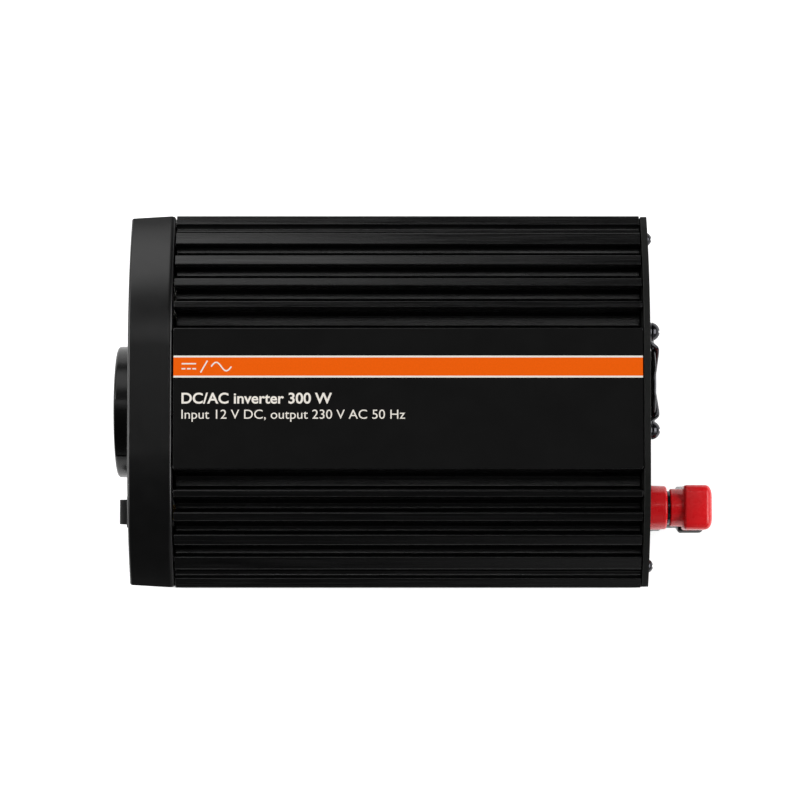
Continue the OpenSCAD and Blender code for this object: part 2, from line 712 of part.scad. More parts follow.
// four-sided knob with chamfered edges, domed end and round neck, turned by an angle
module post_knob(z, turn) {
  head_w = 14.4;
  corner_r = head_w * 0.66;
  dome_r = 28;
  x_head = x_knob + neck_len;
  head_len = x_tip - x_head;
  difference() {
    union() {
      rod_x(x_knob, post_y, z, neck_len + e, 6.1);
      intersection() {
        along_x(x_head, head_len) translate([post_y, z]) rotate(turn) intersection() {
          square(head_w, center = true);
          rotate(45) square(head_w * 1.414 - 2.2, center = true);
        }
        turned_x(x_head, post_y, z, [[0, 0], [corner_r - 0.8, 0], [corner_r, 0.8],
          for (r = [corner_r:-0.66:0]) [r, head_len - dome_r + sqrt(dome_r * dome_r - r * r)]]);
      }
    }
    rod_x(x_knob - 1, post_y, z, insert_end - x_knob + 1.05, 4.3);
  }
}

module post_insert(z) difference() {
  rod_x(x_knob + 0.05, post_y, z, insert_end - x_knob - 0.05, 4.27);
  rod_x(x_knob - 1, post_y, z, insert_end - x_knob + 0.5, stud_r + 0.06);
}

module red_terminal_base() color([0.75, 0.08, 0.1]) post_base(posts[0]);
module red_clamp_washer() color([0.8, 0.78, 0.72]) post_washer(posts[0]);
module red_terminal_knob() color([0.75, 0.12, 0.1]) post_knob(posts[0], 0);
module red_knob_insert() color([0.8, 0.65, 0.3]) post_insert(posts[0]);
module black_terminal_base() color([0.06, 0.06, 0.06]) post_base(posts[1]);
module black_clamp_washer() color([0.8, 0.78, 0.72]) post_washer(posts[1]);
module black_terminal_knob() color([0.06, 0.06, 0.06]) post_knob(posts[1], 8);
module black_knob_insert() color([0.8, 0.65, 0.3]) post_insert(posts[1]);

module terminal_studs() color([0.8, 0.68, 0.35])
  for (z = posts) {
    rod_x(stud_in, post_y, z, stud_end - stud_in - 0.6, stud_r);
    translate([stud_end - 0.6, post_y, z]) rotate([0, 90, 0])
      cylinder(h = 0.6, r1 = stud_r, r2 = stud_r - 0.6);
  }

insulator_t = 1.5;
lug_t = 1;
nut_t = 5;

module terminal_insulators() color([0.85, 0.84, 0.8])
  for (z = posts) ring_x(x_rear - insulator_t, post_y, z, insulator_t - 0.02, 5.5, stud_r + 0.03);

// ring tongue with a crimp barrel, which points along +Y and steps inwards
module ring_lugs() color([0.8, 0.8, 0.82])
  for (z = posts) {
    x_lug = x_rear - insulator_t - 0.02 - lug_t;
    difference() {
      union() {
        rod_x(x_lug, post_y, z, lug_t, 5.2);
        block(x_lug, x_lug + lug_t, post_y, post_y + 9, z - 2.4, z + 2.4);
        translate([x_lug - 1.4, post_y + 8, z]) rotate([-90, 0, 0]) cylinder(h = 6, r = 2.5);
      }
      rod_x(x_lug - 1, post_y, z, 5, stud_r + 0.03);
      translate([x_lug - 1.4, post_y + 9.5, z]) rotate([-90, 0, 0]) cylinder(h = 6, r = 1.85);
    }
  }

module terminal_nuts() color([0.78, 0.78, 0.8])
  for (z = posts)
    nut_x(x_rear - insulator_t - lug_t - 0.05 - nut_t, post_y, z, nut_t, 10, stud_r + 0.03);

// ---------- electronics ----------

module main_pcb() color([0.07, 0.32, 0.16]) difference() {
  block(pcb_x0, pcb_x1, -pcb_half, pcb_half, pcb_z, board_top);
  for (p = pcb_posts) translate([p.x, p.y, 0]) cylinder(h = big, r = 1.7);
}

module pcb_screws() color([0.75, 0.75, 0.78])
  for (p = pcb_posts) translate([p.x, p.y, board_top]) {
    translate([0, 0, -6]) cylinder(h = 6 + e, r = 1.2);
    difference() {
      cylinder(h = 1.8, r1 = 2.7, r2 = 2.2);
      for (a = [0, 90]) rotate([0, 0, a])
        translate([0, 0, 1.8]) cube([2.6, 0.6, 1.4], center = true);
    }
  }

core_x = -26;
core_y = 0;
core_base = board_top + 1;

// two E halves: end plates, outer legs and a round centre leg
module transformer_core() color([0.2, 0.2, 0.21]) translate([core_x, core_y, core_base]) {
  core_h = 34;
  difference() {
    block(-21, 21, -9, 9, 0, core_h);
    difference() {
      block(-15, 15, -12, 12, 6, core_h - 6);
      cylinder(h = core_h, r = 6);
    }
  }
}

module transformer_bobbin() color([0.12, 0.12, 0.13]) translate([core_x, core_y, core_base]) {
  difference() {
    union() {
      translate([0, 0, 6.1]) cylinder(h = 21.8, r = 7.4);
      for (z = [6.1, 26.5]) translate([0, 0, z]) cylinder(h = 1.4, r = 14.3);
    }
    translate([0, 0, -1]) cylinder(h = 40, r = 6.05);
  }
}

module transformer_winding() color([0.85, 0.7, 0.15])
  translate([core_x, core_y, core_base + 7.55]) difference() {
    cylinder(h = 18.9, r = 13.6);
    translate([0, 0, -1]) cylinder(h = 22, r = 7.45);
  }

// upright can with a rolled edge and a pressure-relief cross
module can(r, h) {
  difference() {
    union() {
      cylinder(h = h, r = r - 0.3);
      translate([0, 0, 1.8]) cylinder(h = h - 2.2, r = r);
    }
    for (a = [0, 90]) rotate([0, 0, a])
      translate([0, 0, h]) cube([1.2 * r, 0.5, 0.4], center = true);
  }
}

module input_capacitors() color([0.1, 0.15, 0.45])
  for (y = [-38, -20]) translate([35, y, board_top + 0.02]) can(8, 25);

module output_capacitor() color([0.1, 0.1, 0.12])
  translate([-50, 26, board_top + 0.02]) can(11, 27);

choke = [14, 24];

module choke_core() color([0.75, 0.75, 0.2])
  translate([choke.x, choke.y, board_top + 3]) difference() {
    cylinder(h = 9, r = 12);
    translate([0, 0, -1]) cylinder(h = 11, r = 7);
  }

// turns wound round the toroid, each a closed square loop
module choke_winding() color([0.75, 0.4, 0.15])
  translate([choke.x, choke.y, board_top + 3])
    for (a = [0:20:340]) rotate([0, 0, a]) difference() {
      block(5.5, 13.5, -0.75, 0.75, -1.5, 10.5);
      block(6.95, 12.05, -1, 1, -0.05, 9.05);
    }

mosfet_x = [for (i = [-2:1]) 20 * i + 6];
bar_t = 3;
bar_y = inner_half - 0.05 - bar_t;

// aluminium bars that carry the transistors' heat into the side walls
module heat_bars() color([0.7, 0.7, 0.72])
  both_sides() block(-44, 38, bar_y, bar_y + bar_t, split_z + 4, 35.8);

module mosfets() color([0.1, 0.1, 0.1])
  both_sides() for (x = mosfet_x) {
    block(x - 5, x + 5, bar_y - 4.5, bar_y - 0.05, 18, 27);
    block(x - 5, x + 5, bar_y - 1.3, bar_y - 0.05, 26.9, 33);
    for (s = [-1, 0, 1])
      block(x + s * 2.5 - 0.4, x + s * 2.5 + 0.4, bar_y - 3, bar_y - 2.4, board_top, 18.1);
  }

module mosfet_clips() color([0.55, 0.57, 0.6])
  both_sides() {
    block(-40, 34, bar_y - 5.2, bar_y - 4.6, 20, 25);
    for (x = [-24, -4, 16]) block(x - 2, x + 2, bar_y - 5.2, bar_y - 0.05, 21, 24);
  }

module fuses() color([0.2, 0.45, 0.75])
  for (y = [0, 9]) translate([44, y, board_top + 0.02]) {
    block(-9.5, 9.5, -2.5, 2.5, 5, 15);
    for (s = [-1, 1]) block(s * 7 - 2.3, s * 7 + 2.3, -0.4, 0.4, 0, 5.1);
  }

module buzzer() color([0.1, 0.1, 0.1])
  translate([-54, -34, board_top + 0.02]) difference() {
    cylinder(h = 9.5, r = 6);
    translate([0, 0, 7]) cylinder(h = 5, r = 1.2);
  }

module control_board() color([0.08, 0.3, 0.2]) {
  block(-18, 24, -30.8, -29.2, board_top, 38);
  for (x = [-12, 2, 16]) block(x - 4, x + 4, -29.25, -27.4, 22, 32);
}

// ---------- internal leads ----------

lead_x = x_rear - insulator_t - lug_t - 1.42;
lead_y = post_y + 14;

// last stretch of a lead, straight down on to the board
function landing(x, y) = [for (h = [7, 3.5, 0.05]) [x, y, board_top + h]];

// first stretch of a battery lead, out of the barrel of its lug
function lug_exit(z) = [for (y = [-4, 0.3, 3]) [lead_x, lead_y + y, z]];

module dc_lead_red() color([0.75, 0.08, 0.08])
  tube(concat(lug_exit(posts[0]), [[62, -15.5, 34], [56, -19, 29]], landing(51, -22)), 1.8);

module dc_lead_black() color([0.05, 0.05, 0.05])
  tube(concat(lug_exit(posts[1]), [[61, -15, 22], [55, -11, 25]], landing(51, -8)), 1.8);

module ac_leads() color([0.25, 0.2, 0.5])
  for (s = [-1, 1]) let(y = socket_y + s * pin_pitch / 2, x = x_recess + recess_floor + sleeve_len)
    tube(concat([for (d = [5.15, 6.5, 8]) [x + d, y, socket_z]], landing(-48.5, y - 2)), 1.1, 5);

module switch_leads() color([0.6, 0.6, 0.6])
  for (t = [-1, 1]) let(z = switch_z + t * 4)
    tube(concat([for (d = [19.65, 22, 24]) [x_face + d, switch_y, z]],
      [[-64, switch_y + 3 + 2 * t, 24 + t]], landing(-62, switch_y + 10 + 2.5 * t)), 0.8);

module fan_lead() color([0.7, 0.1, 0.1])
  tube(concat([for (d = [0.1, 1.4, 2.8]) [fan_in - d, fan_y + 13, fan_z + 4]],
    [[57.5, fan_y + 12, 25]], landing(54, 18)), 0.8);

top_shell();
bottom_cover();
front_panel();
rear_panel();
label_plate();
rubber_feet();
rear_gasket();
front_panel_screws();
rear_panel_screws();
socket_housing();
socket_contacts();
earth_clips();
socket_clamp_ring();
switch_frame();
switch_rocker();
switch_terminals();
usb_shell();
usb_tongue();
usb_board();
power_led();
fault_led();
fan_frame();
fan_rotor();
fan_bearing();
fan_stator();
fan_guard();
fan_screws();
fan_nuts();
red_terminal_base();
red_clamp_washer();
red_terminal_knob();
red_knob_insert();
black_terminal_base();
black_clamp_washer();
black_terminal_knob();
black_knob_insert();
terminal_studs();
terminal_insulators();
terminal_nuts();
ring_lugs();
main_pcb();
pcb_screws();
transformer_core();
transformer_bobbin();
transformer_winding();
input_capacitors();
output_capacitor();
choke_core();
choke_winding();
mosfets();
heat_bars();
mosfet_clips();
fuses();
buzzer();
control_board();
dc_lead_red();
dc_lead_black();
ac_leads();
switch_leads();
fan_lead();
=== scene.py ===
"""Looks of the compact power inverter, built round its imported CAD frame.

+X runs from the socket end to the terminals, +Y across, +Z up from the feet. All sizes are in metres.
"""

import json
import math

import bmesh
import bpy
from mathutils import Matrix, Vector


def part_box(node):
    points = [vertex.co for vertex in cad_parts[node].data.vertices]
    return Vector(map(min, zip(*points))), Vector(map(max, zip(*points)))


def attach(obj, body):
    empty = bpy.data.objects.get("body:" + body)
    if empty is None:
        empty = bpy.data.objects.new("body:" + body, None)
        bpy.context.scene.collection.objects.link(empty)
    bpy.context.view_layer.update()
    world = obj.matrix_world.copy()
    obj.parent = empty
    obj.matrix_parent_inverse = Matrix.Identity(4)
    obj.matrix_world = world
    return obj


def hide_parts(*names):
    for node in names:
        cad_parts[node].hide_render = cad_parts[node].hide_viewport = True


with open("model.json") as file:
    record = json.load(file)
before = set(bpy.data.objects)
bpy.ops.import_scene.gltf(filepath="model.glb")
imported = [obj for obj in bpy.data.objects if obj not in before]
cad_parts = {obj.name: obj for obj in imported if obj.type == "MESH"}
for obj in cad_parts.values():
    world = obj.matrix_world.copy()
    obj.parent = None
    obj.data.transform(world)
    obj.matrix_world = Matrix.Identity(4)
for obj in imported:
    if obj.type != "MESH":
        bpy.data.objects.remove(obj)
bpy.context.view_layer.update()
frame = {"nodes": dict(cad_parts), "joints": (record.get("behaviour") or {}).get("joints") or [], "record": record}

MM = 0.001
BLACK = (0.0013, 0.0013, 0.0014)


# ---------- camera, light and floor ----------

CAMERA_TILT = math.radians(3.6)
CAMERA_AIM = Vector((-4.5, -0.55, 60)) * MM
CAMERA_DISTANCE = 1.0
# both in millimetres, as Blender has them
FOCAL_LENGTH = 141.7
SENSOR_WIDTH = 36

OBJECT_MIDDLE = (0, 0, 0.03)
PLATEAU_BACK = (0, 0.02, 0.03)
# name, place, target, width, height and brightness of each soft box
SOFT_BOXES = [
    ("left_box", (-1.0, 0.05, 0.7), OBJECT_MIDDLE, 0.9, 0.6, 5.6),
    ("right_box", (1.0, 0.0, 0.7), OBJECT_MIDDLE, 0.9, 0.6, 5.4),
    ("overhead_strip", (0.0, 0.31, 1.38), PLATEAU_BACK, 0.7, 0.12, 3.0),
    ("back_box", (-0.47, 0.91, 0.71), OBJECT_MIDDLE, 0.95, 0.78, 1.8),
    ("front_box", (0.50, -0.85, 0.60), OBJECT_MIDDLE, 0.95, 0.6, 0.3),
]
WORLD_BRIGHTNESS = 0.045
FLOOR_HALF = 6.0


def make_camera():
    """Looks down on the label from a few degrees off the vertical."""
    data = bpy.data.cameras.new("camera")
    data.sensor_width = SENSOR_WIDTH
    data.lens = FOCAL_LENGTH
    data.clip_start = 0.01
    camera = bpy.data.objects.new("camera", data)
    back = Vector((0, -math.sin(CAMERA_TILT), math.cos(CAMERA_TILT)))
    camera.location = CAMERA_AIM + back * CAMERA_DISTANCE
    camera.rotation_euler = (CAMERA_TILT, 0, 0)
    bpy.context.scene.collection.objects.link(camera)
    bpy.context.scene.camera = camera


def soft_box(name, place, target, width, height, brightness):
    """Area light turned to its target; white paper in its full light has that brightness."""
    data = bpy.data.lights.new(name, "AREA")
    data.shape = "RECTANGLE"
    data.size, data.size_y = width, height
    data.energy = brightness * math.pi * width * height
    light = bpy.data.objects.new(name, data)
    light.location = place
    light.rotation_euler = (Vector(target) - light.location).to_track_quat("-Z", "Y").to_euler()
    bpy.context.scene.collection.objects.link(light)


def make_lights():
    """Strong boxes off both ends, a strip overhead, and weaker boxes behind and in front."""
    for box in SOFT_BOXES:
        soft_box(*box)
    world = bpy.data.worlds.new("studio")
    world.use_nodes = True
    world.node_tree.nodes["Background"].inputs["Color"].default_value = (1, 1, 1, 1)
    world.node_tree.nodes["Background"].inputs["Strength"].default_value = WORLD_BRIGHTNESS
    bpy.context.scene.world = world
    bpy.context.scene.view_settings.view_transform = "Standard"


def make_floor(material):
    """A wide sheet under the feet, which fills the picture from every side."""
    mesh = bpy.data.meshes.new("floor")
    corners = [(x * FLOOR_HALF, y * FLOOR_HALF, 0) for x, y in ((-1, -1), (1, -1), (1, 1), (-1, 1))]
    mesh.from_pydata(corners, [], [(0, 1, 2, 3)])
    floor = bpy.data.objects.new("floor", mesh)
    floor.data.materials.append(material)
    bpy.context.scene.collection.objects.link(floor)


# ---------- materials ----------

class Finish:
    """A Principled material, with short calls for the noise that varies it."""

    def __init__(self, name, color, roughness, metallic=0.0, specular=0.5, transmission=0.0):
        self.material = bpy.data.materials.new(name)
        self.material.use_nodes = True
        self.nodes = self.material.node_tree.nodes
        self.links = self.material.node_tree.links
        self.shader = self.nodes["Principled BSDF"]
        values = {"Base Color": (*color, 1), "Roughness": roughness, "Metallic": metallic,
                  "Specular IOR Level": specular, "Transmission Weight": transmission}
        for socket, value in values.items():
            self.shader.inputs[socket].default_value = value
        self.place = self.nodes.new("ShaderNodeTexCoord").outputs["Object"]

    def noise(self, size, stretch=(1, 1, 1), detail=3.0):
        """Noise whose blobs are about size metres across, longer where stretch is over 1."""
        mapping = self.nodes.new("ShaderNodeMapping")
        mapping.inputs["Scale"].default_value = [1 / (size * s) for s in stretch]
        self.links.new(self.place, mapping.inputs["Vector"])
        noise = self.nodes.new("ShaderNodeTexNoise")
        noise.inputs["Scale"].default_value = 1.0
        noise.inputs["Detail"].default_value = detail
        self.links.new(mapping.outputs["Vector"], noise.inputs["Vector"])
        return noise.outputs["Fac"]

    def cells(self, size):
        """Distance to the middle of the nearest of many small cells."""
        voronoi = self.nodes.new("ShaderNodeTexVoronoi")
        voronoi.inputs["Scale"].default_value = 1 / size
        self.links.new(self.place, voronoi.inputs["Vector"])
        return voronoi.outputs["Distance"]

    def colors(self, fac, dark, light, low=0.35, high=0.65):
        """Base colour from dark to light, while fac goes from low to high."""
        ramp = self.nodes.new("ShaderNodeValToRGB")
        ramp.color_ramp.elements[0].position = low
        ramp.color_ramp.elements[0].color = (*dark, 1)
        ramp.color_ramp.elements[1].position = high
        ramp.color_ramp.elements[1].color = (*light, 1)
        self.links.new(fac, ramp.inputs["Fac"])
        self.links.new(ramp.outputs["Color"], self.shader.inputs["Base Color"])
        return self

    def rough(self, fac, low, high):
        """Roughness between low and high, over the middle range of the noise."""
        spread = self.nodes.new("ShaderNodeMapRange")
        spread.inputs["From Min"].default_value = 0.3
        spread.inputs["From Max"].default_value = 0.7
        spread.inputs["To Min"].default_value = low
        spread.inputs["To Max"].default_value = high
        self.links.new(fac, spread.inputs["Value"])
        self.links.new(spread.outputs["Result"], self.shader.inputs["Roughness"])
        return self

    def bump(self, fac, depth, strength=1.0):
        """Adds relief of about depth metres."""
        node = self.nodes.new("ShaderNodeBump")
        node.inputs["Distance"].default_value = depth
        node.inputs["Strength"].default_value = strength
        self.links.new(fac, node.inputs["Height"])
        normal = self.shader.inputs["Normal"]
        if normal.links:
            self.links.new(normal.links[0].from_socket, node.inputs["Normal"])
        self.links.new(node.outputs["Normal"], normal)
        return self


def shade(color, factor):
    """The colour made darker or lighter, at most full."""
    return tuple(min(1, c * factor) for c in color)


def moulded(name, color, roughness=0.42, grain=0.35 * MM, relief=0.012 * MM, specular=0.5):
    """Injection-moulded plastic with a fine spark-eroded grain."""
    finish = Finish(name, color, roughness, specular=specular)
    finish.colors(finish.noise(9 * MM), shade(color, 0.88), shade(color, 1.12))
    finish.rough(finish.noise(5 * MM), roughness - 0.015, roughness + 0.02)
    finish.bump(finish.noise(grain, detail=2), relief)
    return finish.material


def glossy_moulded(name, color, roughness=0.27):
    """Polished moulding: faint flow marks and sink, and no grain."""
    finish = Finish(name, color, roughness, specular=0.45)
    finish.colors(finish.noise(6 * MM, detail=4), shade(color, 0.95), shade(color, 1.05))
    finish.rough(finish.noise(2 * MM), roughness - 0.05, roughness + 0.08)
    finish.bump(finish.noise(2.4 * MM, detail=2), 0.012 * MM, 0.5)
    return finish.material


def coated(name, color, roughness=0.26, specular=0.5):
    """Black anodised extrusion: die lines along X under a fine, even grain."""
    finish = Finish(name, color, roughness, specular=specular)
    finish.colors(finish.noise(6 * MM, stretch=(5, 1, 1)), shade(color, 0.8), shade(color, 1.25))
    finish.rough(finish.noise(0.8 * MM, stretch=(30, 1, 1)), roughness - 0.07, roughness + 0.07)
    finish.bump(finish.noise(0.3 * MM, stretch=(160, 1, 1), detail=2), 0.006 * MM)
    finish.bump(finish.noise(0.22 * MM, detail=2), 0.01 * MM)
    return finish.material


def metal(name, color, roughness, brushed=(1, 1, 1)):
    """Bare or plated metal with fine scratches, longer where brushed is over 1."""
    finish = Finish(name, color, roughness, metallic=1.0)
    finish.colors(finish.noise(3 * MM, detail=4), shade(color, 0.82), shade(color, 1.08))
    finish.rough(finish.noise(0.5 * MM, stretch=brushed), roughness - 0.08, roughness + 0.12)
    finish.bump(finish.noise(0.15 * MM, stretch=brushed, detail=2), 0.004 * MM)
    return finish.material


def printed(name, color):
    """Screen-printed ink: slightly uneven cover."""
    finish = Finish(name, color, 0.45, specular=0.1)
    finish.colors(finish.noise(0.5 * MM, detail=4), shade(color, 0.95), color)
    finish.bump(finish.noise(0.2 * MM), 0.003 * MM)
    return finish.material


def film(name):
    """Satin label film with a faint pebble grain."""
    color = (0.0045, 0.0045, 0.0045)
    finish = Finish(name, color, 0.6, specular=0.08)
    finish.colors(finish.noise(12 * MM), shade(color, 0.9), shade(color, 1.15))
    finish.rough(finish.noise(4 * MM), 0.55, 0.66)
    finish.bump(finish.cells(0.35 * MM), 0.003 * MM)
    return finish.material


def soft_rubber(name):
    """Dull, slightly mottled rubber."""
    finish = Finish(name, (0.015, 0.015, 0.015), 0.75, specular=0.3)
    finish.colors(finish.noise(1.2 * MM), (0.011, 0.011, 0.011), (0.022, 0.022, 0.021))
    finish.bump(finish.noise(0.3 * MM), 0.02 * MM)
    return finish.material


def lens(name, color):
    """Tinted clear lamp lens with a frosted core."""
    finish = Finish(name, color, 0.12, specular=0.5, transmission=0.6)
    finish.colors(finish.noise(0.8 * MM), shade(color, 0.8), shade(color, 1.2))
    finish.rough(finish.noise(0.5 * MM), 0.08, 0.2)
    return finish.material


def circuit_board(name):
    """Solder mask with faint copper lands under it."""
    finish = Finish(name, (0.01, 0.12, 0.05), 0.35, specular=0.5)
    finish.colors(finish.cells(2.2 * MM), (0.012, 0.16, 0.07), (0.006, 0.09, 0.035), 0.3, 0.42)
    finish.bump(finish.cells(2.2 * MM), 0.03 * MM)
    return finish.material


def ferrite(name):
    """Sintered core with a coarse, dark grain."""
    finish = Finish(name, (0.03, 0.03, 0.032), 0.6, specular=0.4)
    finish.colors(finish.noise(0.4 * MM, detail=5), (0.018, 0.018, 0.02), (0.05, 0.05, 0.052))
    finish.bump(finish.noise(0.3 * MM), 0.03 * MM)
    return finish.material


def paper_floor(name):
    """White paper over a light table."""
    finish = Finish(name, (0.9, 0.9, 0.9), 0.9, specular=0.1)
    finish.shader.inputs["Emission Color"].default_value = (1, 1, 1, 1)
    finish.shader.inputs["Emission Strength"].default_value = 0.72
    finish.colors(finish.noise(60 * MM), (0.89, 0.89, 0.89), (0.92, 0.92, 0.92))
    finish.bump(finish.noise(2 * MM), 0.05 * MM)
    return finish.material


MATERIALS = {
    "case_black": coated("case_black", BLACK),
    "end_cap_plastic": moulded("end_cap_plastic", (0.001, 0.001, 0.0011), 0.3, specular=0.54),
    "rear_plate_black": coated("rear_plate_black", (0.004, 0.0043, 0.0038), 0.42, specular=0.35),
    "label_film": film("label_film"),
    "foot_rubber": soft_rubber("foot_rubber"),
    "screw_black": metal("screw_black", (0.05, 0.05, 0.055), 0.2),
    "socket_plastic": moulded("socket_plastic", (0.0008, 0.0008, 0.0008), 0.26, grain=0.5 * MM,
                              specular=0.35),
    "brass": metal("brass", (0.72, 0.5, 0.2), 0.28),
    "spring_steel": metal("spring_steel", (0.62, 0.6, 0.56), 0.25, brushed=(12, 1, 1)),
    "rocker_plastic": moulded("rocker_plastic", (0.012, 0.012, 0.012), 0.45, grain=0.7 * MM,
                              relief=0.12 * MM),
    "nickel": metal("nickel", (0.72, 0.7, 0.66), 0.18),
    "white_plastic": moulded("white_plastic", (0.75, 0.75, 0.72), 0.4),
    "circuit_board": circuit_board("circuit_board"),
    "lamp_green": lens("lamp_green", (0.1, 0.55, 0.15)),
    "lamp_red": lens("lamp_red", (0.6, 0.05, 0.03)),
    "copper": metal("copper", (0.7, 0.32, 0.16), 0.3),
    "guard_wire": metal("guard_wire", (0.07, 0.07, 0.075), 0.13),
    "zinc_steel": metal("zinc_steel", (0.6, 0.61, 0.63), 0.3),
    "post_red": glossy_moulded("post_red", (0.84, 0.010, 0.015)),
    "post_black": glossy_moulded("post_black", (0.008, 0.008, 0.008)),
    "fibre_washer": moulded("fibre_washer", (0.55, 0.5, 0.38), 0.7),
    "ferrite": ferrite("ferrite"),
    "bobbin_plastic": moulded("bobbin_plastic", (0.02, 0.02, 0.02), 0.5),
    "winding_tape": glossy_moulded("winding_tape", (0.7, 0.5, 0.06), 0.3),
    "capacitor_sleeve": glossy_moulded("capacitor_sleeve", (0.015, 0.03, 0.14), 0.3),
    "core_paint": glossy_moulded("core_paint", (0.55, 0.55, 0.08), 0.35),
    "bar_aluminium": metal("bar_aluminium", (0.7, 0.7, 0.72), 0.35, brushed=(20, 1, 1)),
    "fuse_plastic": glossy_moulded("fuse_plastic", (0.05, 0.2, 0.55), 0.2),
    "lead_red": glossy_moulded("lead_red", (0.45, 0.02, 0.02), 0.4),
    "lead_black": glossy_moulded("lead_black", (0.015, 0.015, 0.015), 0.4),
    "lead_grey": glossy_moulded("lead_grey", (0.2, 0.2, 0.21), 0.4),
}
SLOT_OF = {row["node"]: row["material_slot"] for row in frame["record"]["subparts"]}
BODY_OF = {node: body for body, nodes in frame["record"]["behaviour"]["bodies"].items() for node in nodes}

INK_ORANGE = printed("ink_orange", (0.955, 0.125, 0.0008))
INK_WHITE = printed("ink_white", (0.93, 0.88, 0.80))
INK = 0.02 * MM


# ---------- mesh helpers ----------

CREASE_ANGLE = 34
WELD = 0.002 * MM
SAME_PLANE = 0.01 * MM
EASE_STEPS = 7
# nodes whose end faces have too many holes to be one polygon each
PIERCED = {"front_panel", "fan_frame"}


def add_piece(name, mesh, body, slot, material=None):
    """A finished piece: in the scene, painted, and riding on its body."""
    piece = bpy.data.objects.new(name, mesh)
    bpy.context.scene.collection.objects.link(piece)
    mesh.materials.clear()
    mesh.materials.append(material or MATERIALS[slot])
    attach(piece, body)
    return piece


def finished_mesh(work, name):
    """Ends the work on a mesh: its faces point outwards and it gets its name."""
    bmesh.ops.recalc_face_normals(work, faces=work.faces)
    mesh = bpy.data.meshes.new(name)
    work.to_mesh(mesh)
    work.free()
    return mesh


def join_rings(work, rings):
    """Faces between each closed ring of points and the next. A ring may be a single point."""
    for a, b in zip(rings, rings[1:]):
        count = max(len(a), len(b))
        for j in range(count):
            k = (j + 1) % count
            corners = (a[j % len(a)], a[k % len(a)], b[k % len(b)], b[j % len(b)])
            work.faces.new(list(dict.fromkeys(corners)))


def smooth_by_angle(mesh, degrees=CREASE_ANGLE):
    """Smooth shading, with a crease at each edge sharper than the angle."""
    work = bmesh.new()
    work.from_mesh(mesh)
    limit = math.radians(degrees)
    for face in work.faces:
        face.smooth = True
    for edge in work.edges:
        edge.smooth = len(edge.link_faces) == 2 and edge.calc_face_angle(0) < limit
    work.to_mesh(mesh)
    work.free()


def add_bevel(piece, width):
    """Rounds the sharp edges and keeps the flats flat in the shading."""
    bevel = piece.modifiers.new("edges", "BEVEL")
    bevel.width = width
    bevel.segments = 2
    bevel.limit_method = "ANGLE"
    bevel.angle_limit = math.radians(CREASE_ANGLE)
    bevel.use_clamp_overlap = True
    normals = piece.modifiers.new("normals", "WEIGHTED_NORMAL")
    normals.keep_sharp = True


def outer_loop(work, x):
    """The points of the outermost loop of the skin in the plane at x."""
    plane = {v for v in work.verts if abs(v.co.x - x) < SAME_PLANE}
    reached = {max(plane, key=lambda v: v.co.y)}
    waiting = list(reached)
    while waiting:
        for edge in waiting.pop().link_edges:
            flat = all(abs(face.normal.x) > 0.99 for face in edge.link_faces)
            ends = [v for v in edge.verts if v not in reached and v in plane]
            if ends and not flat:
                reached.update(ends)
                waiting.extend(ends)
    return reached


def ease_rim(work, x, way_in, length, depth):
    """Curves the outer skin inwards near the plane at x, like a quarter of an ellipse.

    The curve is length long, towards +X or -X as way_in is 1 or -1, and depth deep at the plane.
    """
    cuts = [length * (k / EASE_STEPS) ** 1.6 for k in range(1, EASE_STEPS + 1)]
    for cut in cuts:
        bmesh.ops.bisect_plane(work, geom=work.verts[:] + work.edges[:] + work.faces[:],
                               plane_co=(x + way_in * cut, 0, 0), plane_no=(1, 0, 0), dist=0.001 * MM)
    work.normal_update()
    moves = {}
    for cut in [0.0] + cuts[:-1]:
        u = 1 - cut / length
        drop = depth * (1 - math.sqrt(max(0, 1 - u * u)))
        for v in outer_loop(work, x + way_in * cut):
            skin = [face.normal for face in v.link_faces if abs(face.normal.x) < 0.5]
            way = sum(skin, Vector()) if skin else v.normal
            moves[v] = Vector((0, way.y, way.z)).normalized() * drop
    for v, move in moves.items():
        v.co -= move


def clean_copy(node, rims=()):
    """The CAD node's mesh, welded, with its flat faces whole again where they can be.

    Each of rims is (x, way_in, length, depth) for ease_rim.
    """
    mesh = frame["nodes"][node].data.copy()
    work = bmesh.new()
    work.from_mesh(mesh)
    bmesh.ops.remove_doubles(work, verts=work.verts, dist=WELD)
    joined = [edge for edge in work.edges
              if node not in PIERCED or any(abs(face.normal.x) < 0.999 for face in edge.link_faces)]
    bmesh.ops.dissolve_limit(work, angle_limit=math.radians(0.5), verts=work.verts, edges=joined)
    for rim in rims:
        ease_rim(work, *rim)
    work.to_mesh(mesh)
    work.free()
    return mesh


def stand_in(node, name, mesh):
    """A piece with the body and slot of the CAD node that it replaces."""
    piece = add_piece(name, mesh, BODY_OF[node], SLOT_OF[node])
    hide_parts(node)
    return piece


def dressed(node, width, rims=()):
    """Stands in for a CAD node: the same shape with rounded edges."""
    mesh = clean_copy(node, rims)
    smooth_by_angle(mesh)
    add_bevel(stand_in(node, node + "_piece", mesh), width)


# ---------- label ----------

LABEL_CORNER = 0.8 * MM
STRIPE_LOW, STRIPE_HIGH, STRIPE_EDGE = 7.2 * MM, 13.0 * MM, 0.6 * MM
TEXT_MARGIN = 2.6 * MM
# name, words, base line, height of capitals and right end in millimetres, and extra weight of each line
WORDS = [
    ("rating_power", "DC/AC inverter 300 W", -1.6, 3.3, -26.1, 0.02),
    ("rating_volts", "Input 12 V DC, output 230 V AC 50 Hz", -6.5, 2.9, -2.9, 0.0),
]
FONT_CAPITAL = 0.69
FONT_DEPTH = 0.002
MARK_MIDDLE = 10.1 * MM
MARK_LINE = 0.45 * MM


